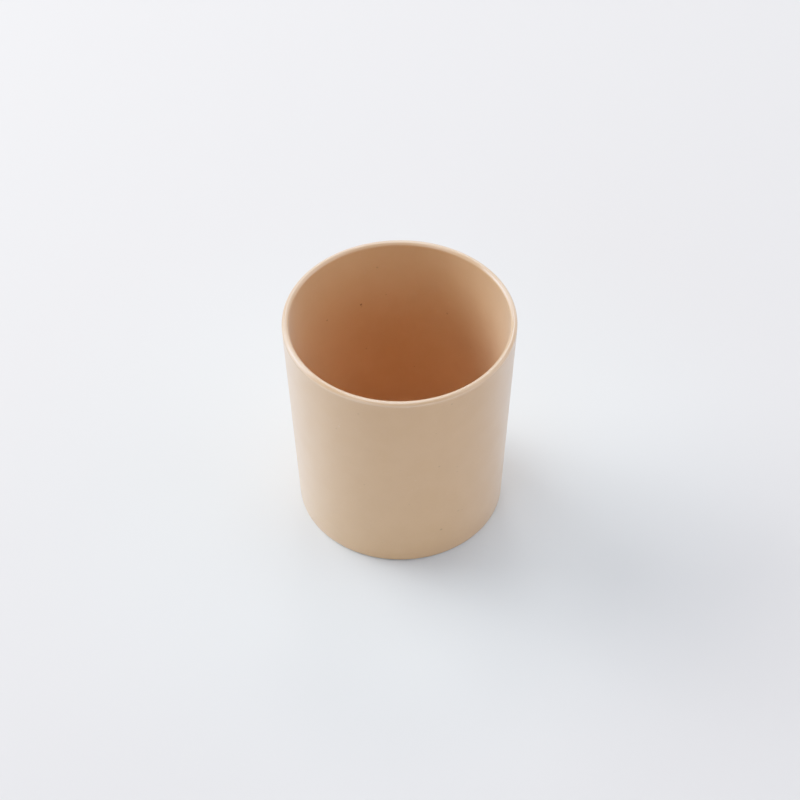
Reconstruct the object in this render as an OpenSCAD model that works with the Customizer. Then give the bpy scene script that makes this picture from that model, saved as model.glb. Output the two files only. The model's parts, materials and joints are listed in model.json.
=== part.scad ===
// Straight-sided drinking cup, pressed in one piece from a bamboo fibre
// moulding compound.  The axis of the cup is Z and it stands on z = 0.

/* [Body] */
// Overall height, foot to lip
height = 84; // [60:0.5:120]
// Outside diameter at its widest, at the lip
rim_d = 80; // [64:0.5:100]
// Outside diameter just above the foot
base_d = 73; // [58:0.5:90]

/* [Wall] */
// Wall thickness at the lip, which is a full round of this width
rim_wall = 2.3; // [1.6:0.05:3.6]
// Wall thickness at the level of the inside floor
base_wall = 2.8; // [2:0.05:4.5]
// Height of the inside floor above the table
floor_z = 4; // [3:0.1:8]
// Radius of the corner between the inside wall and the floor
floor_fillet = 6; // [2:0.5:14]

/* [Foot] */
// Radius of the outside edge at the table
foot_edge_r = 1; // [0.4:0.1:2.5]
// Width of the flat ring that the cup stands on
foot_ring_w = 4.5; // [2:0.1:8]
// Depth of the hollow inside the foot ring
hollow_h = 1.2; // [0.5:0.1:2]

/* [Hidden] */
$fn = 128;

fibre_colour = [0.90, 0.78, 0.65];

// How far each round stands past the straight lines that run into it, so that
// a line and a round cross cleanly
lap = 0.0005;

// Draft of the straight line through p that touches the circle of radius r
// around c, on its outer side (side = 1) or its inner side (side = -1)
function touch_draft(p, c, r, side) =
  atan((c.x - p.x) / (c.y - p.y)) + side * asin(r / norm(c - p));

// Where a line of slope draft through p is, at height z
function on_wall(p, draft, z) = p.x + (z - p.y) * tan(draft);

// Lip: a full round, as wide as the wall is thick there
lip_r = rim_wall / 2;
lip_c = [rim_d / 2 - lip_r, height - lip_r];

// Outside wall: the straight line from the foot edge up to the lip
wall_lo = [base_d / 2, foot_edge_r];
out_draft = touch_draft(wall_lo, lip_c, lip_r, 1);
lip_out = lip_c + (lip_r - lap) * [cos(out_draft), -sin(out_draft)];

// Inside wall, a little steeper than the outside, so that the wall thickens
// towards the floor
in_lo = [on_wall(wall_lo, out_draft, floor_z) - base_wall, floor_z];
in_draft = touch_draft(in_lo, lip_c, lip_r, -1);
lip_in = lip_c - (lip_r - lap) * [cos(in_draft), -sin(in_draft)];

// Foot edge: its centre, and where it leaves the table and meets the wall
foot_c = [base_d / 2 - foot_edge_r / cos(out_draft), foot_edge_r];
foot_t0 = [foot_c.x, 0];
foot_t1 = foot_c + (foot_edge_r - lap) * [cos(out_draft), -sin(out_draft)];

// Inside corner: its centre, and where it meets the wall and the floor
corner_z = floor_z + floor_fillet;
corner_c = [on_wall(in_lo, in_draft, corner_z) - floor_fillet / cos(in_draft), corner_z];
corner_t0 = corner_c + (floor_fillet - lap) * [cos(in_draft), -sin(in_draft)];
corner_t1 = [corner_c.x, floor_z];

// Hollow under the base: an S-shaped step up from the foot ring, rounded at
// the ring and filleted at the top by the same radius
step_r = hollow_h / 2;
ring_in = foot_t0.x - foot_ring_w;
step_lo = [ring_in, step_r];
step_hi = [ring_in - 2 * step_r, step_r];

// Half section of the cup
module section() {
  difference() {
    union() {
      polygon([
        [0, hollow_h], [step_hi.x, hollow_h],
        [ring_in - step_r, step_r], [ring_in, 0],
        foot_t0, foot_t1, lip_out, lip_in,
        corner_t0, corner_t1, [0, floor_z]
      ]);
      translate(step_lo) circle(r = step_r);
      translate(foot_c) circle(r = foot_edge_r);
      translate(lip_c) circle(r = lip_r);
    }
    translate(corner_c) circle(r = floor_fillet);
    translate(step_hi) circle(r = step_r);
  }
}

// The one moulding: wall, lip, floor and foot
module cup_body() {
  color(fibre_colour) rotate_extrude() section();
}

cup_body();
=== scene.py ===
import json
import math
import random

import bpy
from mathutils import Matrix, Vector

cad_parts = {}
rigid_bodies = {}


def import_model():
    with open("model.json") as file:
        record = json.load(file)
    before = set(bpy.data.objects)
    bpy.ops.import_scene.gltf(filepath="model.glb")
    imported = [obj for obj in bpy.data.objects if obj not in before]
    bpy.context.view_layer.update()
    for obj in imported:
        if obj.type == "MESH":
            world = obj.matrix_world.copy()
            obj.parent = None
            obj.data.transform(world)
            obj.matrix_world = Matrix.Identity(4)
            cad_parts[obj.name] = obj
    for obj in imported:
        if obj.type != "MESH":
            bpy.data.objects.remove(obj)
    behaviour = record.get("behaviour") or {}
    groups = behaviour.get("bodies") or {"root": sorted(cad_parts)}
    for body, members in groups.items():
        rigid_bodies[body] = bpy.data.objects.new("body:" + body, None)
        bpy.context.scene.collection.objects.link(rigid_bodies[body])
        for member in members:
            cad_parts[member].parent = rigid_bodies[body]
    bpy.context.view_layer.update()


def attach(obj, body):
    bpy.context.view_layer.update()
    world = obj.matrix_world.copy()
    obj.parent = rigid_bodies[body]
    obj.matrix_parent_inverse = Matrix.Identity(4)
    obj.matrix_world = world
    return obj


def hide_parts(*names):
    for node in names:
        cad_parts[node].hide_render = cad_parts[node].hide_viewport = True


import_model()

scene = bpy.context.scene
for o in list(bpy.data.objects):
    if o.type in {"LIGHT", "CAMERA"} or o.name == "Cube":
        bpy.data.objects.remove(o)

MM = 0.001

# ---------------------------------------------------------------- camera
# An 800 x 800 picture taken from 47 degrees above the table with a long lens.
FOCAL_PX = 2323.7
ELEVATION = math.radians(46.70)
DISTANCE = 0.81668
ROLL = math.radians(-0.404)
AIM = Vector((0.0, 0.0, 0.042))
AIM_PX = (0.111, 4.139)


def make_camera():
    data = bpy.data.cameras.new("camera")
    data.sensor_fit = "HORIZONTAL"
    data.sensor_width = 36.0
    data.lens = 36.0 * FOCAL_PX / 800.0
    data.clip_start, data.clip_end = 0.05, 20.0
    cam = bpy.data.objects.new("camera", data)
    scene.collection.objects.link(cam)
    back = Vector((0.0, -math.cos(ELEVATION), math.sin(ELEVATION)))
    look = (-back).to_track_quat("-Z", "Y").to_matrix()
    # the aim point sits a few pixels off the middle of the picture
    turn = Matrix.Rotation(math.atan(AIM_PX[0] / FOCAL_PX), 3, "Y") @ Matrix.Rotation(math.atan(AIM_PX[1] / FOCAL_PX), 3, "X")
    rot = look @ turn @ Matrix.Rotation(ROLL, 3, "Z")
    cam.matrix_world = Matrix.Translation(AIM + back * DISTANCE) @ rot.to_4x4()
    scene.camera = cam


make_camera()

# ---------------------------------------------------------------- cup
# Section of the cup in millimetres, the same construction as the CAD model.
HEIGHT, RIM_R, BASE_R = 84.0, 40.0, 36.5
RIM_WALL, BASE_WALL = 2.3, 2.8
FLOOR_Z, FILLET = 4.0, 6.0
FOOT_R, RING_W, HOLLOW = 1.0, 4.5, 1.2


def arc(cx, cz, r, a0, a1, n):
    return [(cx + r * math.cos(math.radians(a0 + (a1 - a0) * i / n)), cz + r * math.sin(math.radians(a0 + (a1 - a0) * i / n))) for i in range(n + 1)]


def run(p, q, n):
    return [(p[0] + (q[0] - p[0]) * i / n, p[1] + (q[1] - p[1]) * i / n) for i in range(n + 1)]


def cup_section():
    """(points from the middle of the underside, out, up, over the lip and down to the middle of the inside floor)"""
    lip_r = RIM_WALL / 2
    lip = (RIM_R - lip_r, HEIGHT - lip_r)

    def draft(p, side):
        """The draft, in degrees, of the straight line through p that touches the lip's round."""
        dx, dz = lip[0] - p[0], lip[1] - p[1]
        return math.degrees(math.atan2(dx, dz) + side * math.asin(lip_r / math.hypot(dx, dz)))

    def on_wall(p, d, z):
        return p[0] + (z - p[1]) * math.tan(math.radians(d))

    low = (BASE_R, FOOT_R)
    out = draft(low, 1)
    in_low = (on_wall(low, out, FLOOR_Z) - BASE_WALL, FLOOR_Z)
    inn = draft(in_low, -1)
    foot = (BASE_R - FOOT_R / math.cos(math.radians(out)), FOOT_R)
    fil = (on_wall(in_low, inn, FLOOR_Z + FILLET) - FILLET / math.cos(math.radians(inn)), FLOOR_Z + FILLET)
    step = HOLLOW / 2
    ring = foot[0] - RING_W
    pts = []

    def add(more):
        for p in more:
            if not pts or math.dist(pts[-1], p) > 1e-6:
                pts.append(p)

    add(run((0.0, HOLLOW), (ring - 2 * step, HOLLOW), 14))
    add(arc(ring - 2 * step, step, step, 90, 0, 8))
    add(arc(ring, step, step, 180, 270, 8))
    add(run((ring, 0.0), (foot[0], 0.0), 6))
    add(arc(foot[0], foot[1], FOOT_R, -90, -out, 10))
    over = arc(lip[0], lip[1], lip_r, -out, 180 - inn, 44)
    add(run(pts[-1], over[0], 56))
    add(over)
    down = arc(fil[0], fil[1], FILLET, -inn, -90, 18)
    add(run(pts[-1], down[0], 52))
    add(down)
    add(run(pts[-1], (0.0, FLOOR_Z), 14))
    return pts


def lathe(name, pts, sides, scale=MM):
    """A closed surface of revolution, with one vertex where the section meets the axis."""
    verts, rings = [], []
    for r, z in pts:
        if r < 1e-9:
            rings.append([len(verts)])
            verts.append((0.0, 0.0, z * scale))
        else:
            rings.append(list(range(len(verts), len(verts) + sides)))
            for k in range(sides):
                a = 2 * math.pi * k / sides
                verts.append((r * scale * math.cos(a), r * scale * math.sin(a), z * scale))
    faces = []
    for a, b in zip(rings, rings[1:]):
        for k in range(sides):
            n = (k + 1) % sides
            if len(a) == 1:
                faces.append((a[0], b[n], b[k]))
            elif len(b) == 1:
                faces.append((a[k], a[n], b[0]))
            else:
                faces.append((a[k], a[n], b[n], b[k]))
    mesh = bpy.data.meshes.new(name)
    mesh.from_pydata(verts, [], faces)
    mesh.validate()
    mesh.shade_smooth()
    ob = bpy.data.objects.new(name, mesh)
    scene.collection.objects.link(ob)
    return ob


cup = lathe("cup", cup_section(), 360)


# Tones of the compound, scene-linear
FIBRE_LIGHT, FIBRE_DEEP = (0.797, 0.487, 0.232), (0.779, 0.471, 0.219)
GRAIN_TONE, FLECK_TONE = (0.62, 0.36, 0.16), (0.16, 0.065, 0.028)
PALE, TAN = (0.90, 0.66, 0.44), (0.52, 0.27, 0.12)
# turn in degrees, shift, half width of a strand, tone, strength
FIBRES = [
    ((12.0, 35.0, 64.0), (3.1, 7.7, 1.9), 0.105, PALE, 0.16),
    ((-38.0, 81.0, 20.0), (11.3, 2.2, 8.4), 0.095, PALE, 0.14),
    ((67.0, -24.0, 131.0), (5.8, 13.6, 4.1), 0.080, TAN, 0.16),
]
FLECK_CELL, FLECK_SHIFT = 6.0, (4.0, 9.0, 2.0)
# place in millimetres, radius, darkness
LARGE_FLECKS = [
    ((-13.6, 33.7, 58.0), 0.60, 0.65), ((-13.6, 33.8, 57.0), 0.45, 0.18), ((-25.6, 25.9, 58.0), 0.45, 0.49),
    ((-7.7, 36.3, 73.7), 0.55, 0.27), ((17.0, 32.0, 55.0), 0.55, 0.25), ((-12.1, 33.2, 36.3), 0.45, 0.25),
    ((-4.7, 36.2, 60.5), 0.45, 0.22), ((5.3, 34.4, 25.5), 0.40, 0.22),
    ((14.1, -34.3, 14.3), 0.60, 0.31), ((13.1, -36.3, 49.6), 0.45, 0.27), ((20.0, -31.6, 21.2), 0.55, 0.14),
    ((-13.8, -37.3, 77.0), 0.45, 0.18), ((19.3, -33.2, 46.0), 0.40, 0.16), ((19.3, -33.1, 43.4), 0.40, 0.14),
    ((-21.4, -32.9, 65.2), 0.45, 0.14), ((2.9, -37.7, 31.7), 0.40, 0.13), ((-12.4, -36.1, 40.5), 0.45, 0.13),
    ((21.4, -30.6, 20.6), 0.40, 0.13), ((12.0, -37.5, 67.4), 0.40, 0.11), ((17.0, -36.0, 80.1), 0.45, 0.29),
    ((-17.9, -35.4, 83.0), 0.40, 0.29),
]
PALE_MARKS = [((-20.5, -33.6, 67.0), 0.70, 0.22), ((-20.2, -33.8, 68.4), 0.50, 0.16), ((5.0, -38.0, 44.5), 0.50, 0.16),
              ((3.9, -38.3, 46.8), 0.45, 0.14), ((-13.8, -35.5, 38.2), 0.50, 0.12)]


def more_flecks():
    """Flecks like these, scattered over the far side of the outside wall and the near side of the inside."""
    dice = random.Random(11)
    places = []
    for i in range(18):
        inside = i >= 11
        a = math.radians(dice.uniform(8.0, 172.0) + (180.0 if inside else 0.0))
        z = dice.uniform(8.0, 80.0)
        r = 33.8 + (z - 4.0) * 0.0491 if inside else 36.5 + (z - 1.0) * 0.0428
        places.append(((r * math.cos(a), r * math.sin(a), z), dice.uniform(0.40, 0.60), dice.uniform(0.12, 0.36)))
    return places


LARGE_FLECKS += more_flecks()
# the lip is finished and polished after moulding, which leaves it smoother; its paler tone is a painted highlight,
# standing in for the broad sheen the lip catches from the lights above
LIP_PAINTED_HIGHLIGHT, LIP_FROM, LIP_TO, LIP_SLANT = (0.94, 0.63, 0.36), 82.3, 83.2, -0.15


def fibre_material():
    """Matte pressed compound: an even beige with a fine powdery grain, faint short fibres and a few brown flecks."""
    mat = bpy.data.materials.new("bamboo_fibre")
    mat.use_nodes = True
    tree = mat.node_tree
    bsdf = tree.nodes["Principled BSDF"]

    def add(kind, ins=None, **props):
        n = tree.nodes.new(kind)
        for k, v in props.items():
            setattr(n, k, v)
        for k, v in (ins or {}).items():
            if isinstance(v, bpy.types.NodeSocket):
                tree.links.new(v, n.inputs[k])
            else:
                n.inputs[k].default_value = v
        return n

    def calc(op, a, b=0.0, c=0.0):
        return add("ShaderNodeMath", {0: a, 1: b, 2: c}, operation=op).outputs[0]

    def vec(op, a, b=(0.0, 0.0, 0.0), **more):
        n = add("ShaderNodeVectorMath", {0: a, 1: b, **more}, operation=op)
        return n.outputs["Value" if op in {"LENGTH", "DISTANCE"} else "Vector"]

    def ramp(x, lo, hi, to_lo=0.0, to_hi=1.0, smooth=True):
        return add("ShaderNodeMapRange", {"Value": x, "From Min": lo, "From Max": hi, "To Min": to_lo, "To Max": to_hi},
                   interpolation_type="SMOOTHSTEP" if smooth else "LINEAR").outputs["Result"]

    def noise(p, scale, detail, rough=0.5, out="Fac"):
        return add("ShaderNodeTexNoise", {"Vector": p, "Scale": scale, "Detail": detail, "Roughness": rough}).outputs[out]

    def tint(colour, factor, to):
        """The colour, moved towards another by a factor."""
        n = add("ShaderNodeMix", {0: factor}, data_type="RGBA")
        for k, v in ((6, colour), (7, to)):
            if isinstance(v, bpy.types.NodeSocket):
                tree.links.new(v, n.inputs[k])
            else:
                n.inputs[k].default_value = (*v, 1.0)
        return n.outputs[2]

    # position on the cup in millimetres, and the same with a ragged shake for edges
    place = vec("SCALE", add("ShaderNodeTexCoord").outputs["Object"], Scale=1000.0)
    shake = vec("SUBTRACT", noise(place, 1.7, 2.0, out="Color"), (0.5, 0.5, 0.5))
    ragged = vec("ADD", place, vec("SCALE", shake, Scale=0.45))

    # soft clouds about 8 mm across, and the powdery grain
    cloud = ramp(noise(place, 0.12, 3.0, 0.55), 0.3, 0.7)
    grain = noise(place, 4.5, 2.0, 0.6)
    colour = tint(FIBRE_LIGHT, cloud, FIBRE_DEEP)
    colour = tint(colour, ramp(grain, 0.35, 0.75, 0.0, 0.055), GRAIN_TONE)

    # short fibres that lie every way, a little paler or darker than the rest
    strands = []
    for turn, shift, size, tone, strength in FIBRES:
        at = add("ShaderNodeMapping", {"Vector": ragged, "Rotation": tuple(math.radians(t) for t in turn), "Location": shift, "Scale": (0.11, 0.5, 0.5)}).outputs[0]
        cell = add("ShaderNodeTexVoronoi", {"Vector": at, "Scale": 1.0})
        strand = ramp(cell.outputs["Distance"], size, size * 0.35, 0.0, 1.0)
        strands.append(strand)
        colour = tint(colour, calc("MULTIPLY", strand, strength), tone)

    for where, radius, strength in PALE_MARKS:
        mark = ramp(calc("DIVIDE", vec("DISTANCE", ragged, where), radius), 1.0, 0.3)
        colour = tint(colour, calc("MULTIPLY", mark, strength), PALE)
    part = add("ShaderNodeSeparateXYZ", {"Vector": ragged}).outputs
    inward = calc("SUBTRACT", RIM_R - RIM_WALL / 2, vec("LENGTH", add("ShaderNodeCombineXYZ", {0: part[0], 1: part[1]}).outputs[0]))
    lip_polish_and_painted_highlight = ramp(calc("MULTIPLY_ADD", inward, LIP_SLANT, part[2]), LIP_FROM, LIP_TO)
    # painted highlight: the lip band is tinted paler and whiter, standing in for the sheen it catches from the lights;
    # its lower roughness and higher specular are the real polish
    colour = tint(colour, calc("MULTIPLY", lip_polish_and_painted_highlight, 0.92), LIP_PAINTED_HIGHLIGHT)

    # scattered flecks: each cell holds one, of its own size and darkness
    cell = add("ShaderNodeTexVoronoi", {"Vector": vec("ADD", ragged, FLECK_SHIFT), "Scale": 1.0 / FLECK_CELL})
    pick = add("ShaderNodeSeparateColor", {"Color": cell.outputs["Color"]})
    gap = calc("MULTIPLY", cell.outputs["Distance"], FLECK_CELL)
    size = calc("MULTIPLY_ADD", calc("POWER", pick.outputs[0], 3.0), 0.34, 0.13)
    fleck = ramp(calc("DIVIDE", gap, size), 1.0, 0.5)
    fleck = calc("MULTIPLY", fleck, calc("MULTIPLY_ADD", calc("POWER", pick.outputs[1], 4.0), 0.28, 0.04))

    # the few larger flecks, each at its own place on the wall
    for where, radius, depth in LARGE_FLECKS:
        near = calc("DIVIDE", vec("DISTANCE", ragged, where), radius)
        fleck = calc("MAXIMUM", fleck, calc("MULTIPLY", ramp(near, 1.0, 0.45), depth))
    colour = tint(colour, fleck, FLECK_TONE)
    tree.links.new(colour, bsdf.inputs["Base Color"])

    # the finish: satin-matt, a touch rougher in the grain and on the flecks
    rough = calc("MULTIPLY_ADD", calc("SUBTRACT", grain, 0.5), 0.08, 0.33)
    rough = calc("MULTIPLY_ADD", calc("SUBTRACT", cloud, 0.5), 0.05, rough)
    rough = calc("MULTIPLY_ADD", lip_polish_and_painted_highlight, -0.18, rough)
    tree.links.new(calc("MULTIPLY_ADD", fleck, 0.15, rough), bsdf.inputs["Roughness"])
    tree.links.new(ramp(lip_polish_and_painted_highlight, 0.0, 1.0, 0.5, 1.0), bsdf.inputs["Specular IOR Level"])
    bsdf.inputs["Sheen Weight"].default_value = 0.35
    bsdf.inputs["Sheen Roughness"].default_value = 0.5
    bsdf.inputs["Diffuse Roughness"].default_value = 0.7

    # relief in millimetres: grain, slow orange-peel, fibres that stand up and flecks that sit a little low
    high = calc("MULTIPLY", grain, 0.0045)
    high = calc("MULTIPLY_ADD", noise(place, 0.35, 1.0), 0.010, high)
    for strand in strands:
        high = calc("MULTIPLY_ADD", strand, 0.004, high)
    high = calc("MULTIPLY_ADD", fleck, -0.015, high)
    bump = add("ShaderNodeBump", {"Height": high, "Distance": 0.001, "Strength": 1.0})
    tree.links.new(bump.outputs["Normal"], bsdf.inputs["Normal"])
    return mat


cup.data.materials.append(fibre_material())
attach(cup, "root")
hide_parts("cup_body")


# ---------------------------------------------------------------- floor, lights, world
def floor_section():
    """A flat round floor that sweeps up into a low wall all round, in metres."""
    return [(2.0, 1.1)] + arc(1.1, 0.9, 0.9, 0, -90, 24) + run((1.1, 0.0), (0.05, 0.0), 10)[1:] + [(0.0, 0.0)]


floor = lathe("floor", floor_section(), 128, 1.0)
floor_mat = bpy.data.materials.new("floor_paper")
floor_mat.use_nodes = True
floor_bsdf = floor_mat.node_tree.nodes["Principled BSDF"]


def floor_paper_and_painted_cool_light(tree, far, near, r_far, r_near):
    """Paper white, with painted cool light around the foot of the cup: a tint that offsets the cup's warm bounce and
    cools its shadow.
    """
    where = tree.nodes.new("ShaderNodeVectorMath")
    where.operation = "LENGTH"
    tree.links.new(tree.nodes.new("ShaderNodeTexCoord").outputs["Object"], where.inputs[0])
    painted_cool_light_mask = tree.nodes.new("ShaderNodeMapRange")
    painted_cool_light_mask.interpolation_type = "SMOOTHSTEP"
    painted_cool_light_mask.inputs["From Min"].default_value, painted_cool_light_mask.inputs["From Max"].default_value = r_far, r_near
    tree.links.new(where.outputs["Value"], painted_cool_light_mask.inputs["Value"])
    tone = tree.nodes.new("ShaderNodeMix")
    tone.data_type = "RGBA"
    tree.links.new(painted_cool_light_mask.outputs["Result"], tone.inputs[0])
    tone.inputs[6].default_value, tone.inputs[7].default_value = (*far, 1.0), (*near, 1.0)
    return tone.outputs[2]


# near the foot the paper is painted greener and bluer: painted cool fill light in the cup's shadow, offsetting its warm
# bounce light
floor_mat.node_tree.links.new(floor_paper_and_painted_cool_light(floor_mat.node_tree, (0.914, 0.921, 0.916), (0.914, 0.988, 0.994), 0.170, 0.050), floor_bsdf.inputs["Base Color"])
floor_bsdf.inputs["Roughness"].default_value = 0.9
floor_bsdf.inputs["Specular IOR Level"].default_value = 0.0
floor.data.materials.append(floor_mat)

world = bpy.data.worlds.new("world")
scene.world = world
world.use_nodes = True
world.node_tree.nodes["Background"].inputs["Color"].default_value = (0.95, 0.97, 1.0, 1.0)
world.node_tree.nodes["Background"].inputs["Strength"].default_value = 0.0


# name, azimuth, elevation, size, watts, colour
LIGHTS = [
    ("key_mid", 74.0, 30.0, 0.8, 6.50, (0.955, 0.950, 1.0)),
    ("key_back", 52.0, 30.0, 0.8, 3.63, (0.955, 0.948, 1.0)),
    ("key_high", 52.0, 46.0, 0.8, 3.07, (0.950, 0.943, 1.0)),
    ("back", 2.0, 46.0, 0.34, 1.42, (0.955, 0.940, 1.0)),
    ("back_right", 335.0, 46.0, 0.7, 0.84, (0.940, 0.930, 1.0)),
    ("top", 0.0, 80.0, 0.9, 3.13, (0.945, 0.938, 1.0)),
    ("top_left", 120.0, 80.0, 0.9, 1.46, (0.835, 0.855, 1.0)),
    ("top_right", 270.0, 60.0, 0.9, 0.95, (0.955, 0.905, 1.0)),
    ("right_front", 250.0, 40.0, 0.7, 0.86, (0.865, 0.860, 1.0)),
    ("fill_right", 280.0, 32.0, 0.8, 1.45, (0.947, 0.940, 1.0)),
    ("right_back", 320.0, 20.0, 0.7, 0.89, (0.940, 0.940, 1.0)),
    ("fill_front", 145.0, 26.0, 0.8, 1.22, (0.450, 0.700, 1.0)),
]


def soft_light(name, azimuth, elevation, distance, size, power, colour):
    """A round soft light, aimed at the cup.  Azimuth 0 is behind the cup, 90 to its left."""
    a, e = math.radians(azimuth), math.radians(elevation)
    way = Vector((-math.sin(a) * math.cos(e), math.cos(a) * math.cos(e), math.sin(e)))
    data = bpy.data.lights.new(name, "AREA")
    data.shape = "DISK"
    data.size = size
    data.energy = power
    data.color = colour
    ob = bpy.data.objects.new(name, data)
    ob.matrix_world = Matrix.Translation(Vector((0, 0, 0.042)) + way * distance) @ (-way).to_track_quat("-Z", "Y").to_matrix().to_4x4()
    ob.visible_camera = False
    scene.collection.objects.link(ob)
    return ob


for name, azimuth, elevation, size, power, colour in LIGHTS:
    soft_light(name, azimuth, elevation, 1.5, size, power, colour)

# Tones as a photograph has them: bright ones are held back by a soft shoulder.
SHOULDER = 2.0
settings = scene.view_settings
settings.view_transform = "Standard"
settings.look = "None"
settings.use_curve_mapping = True
tone = settings.curve_mapping.curves[3]
for i in range(1, 20):
    tone.points.new(i / 20, (1 - math.exp(-SHOULDER * i / 20)) / (1 - math.exp(-SHOULDER)))
settings.curve_mapping.update()
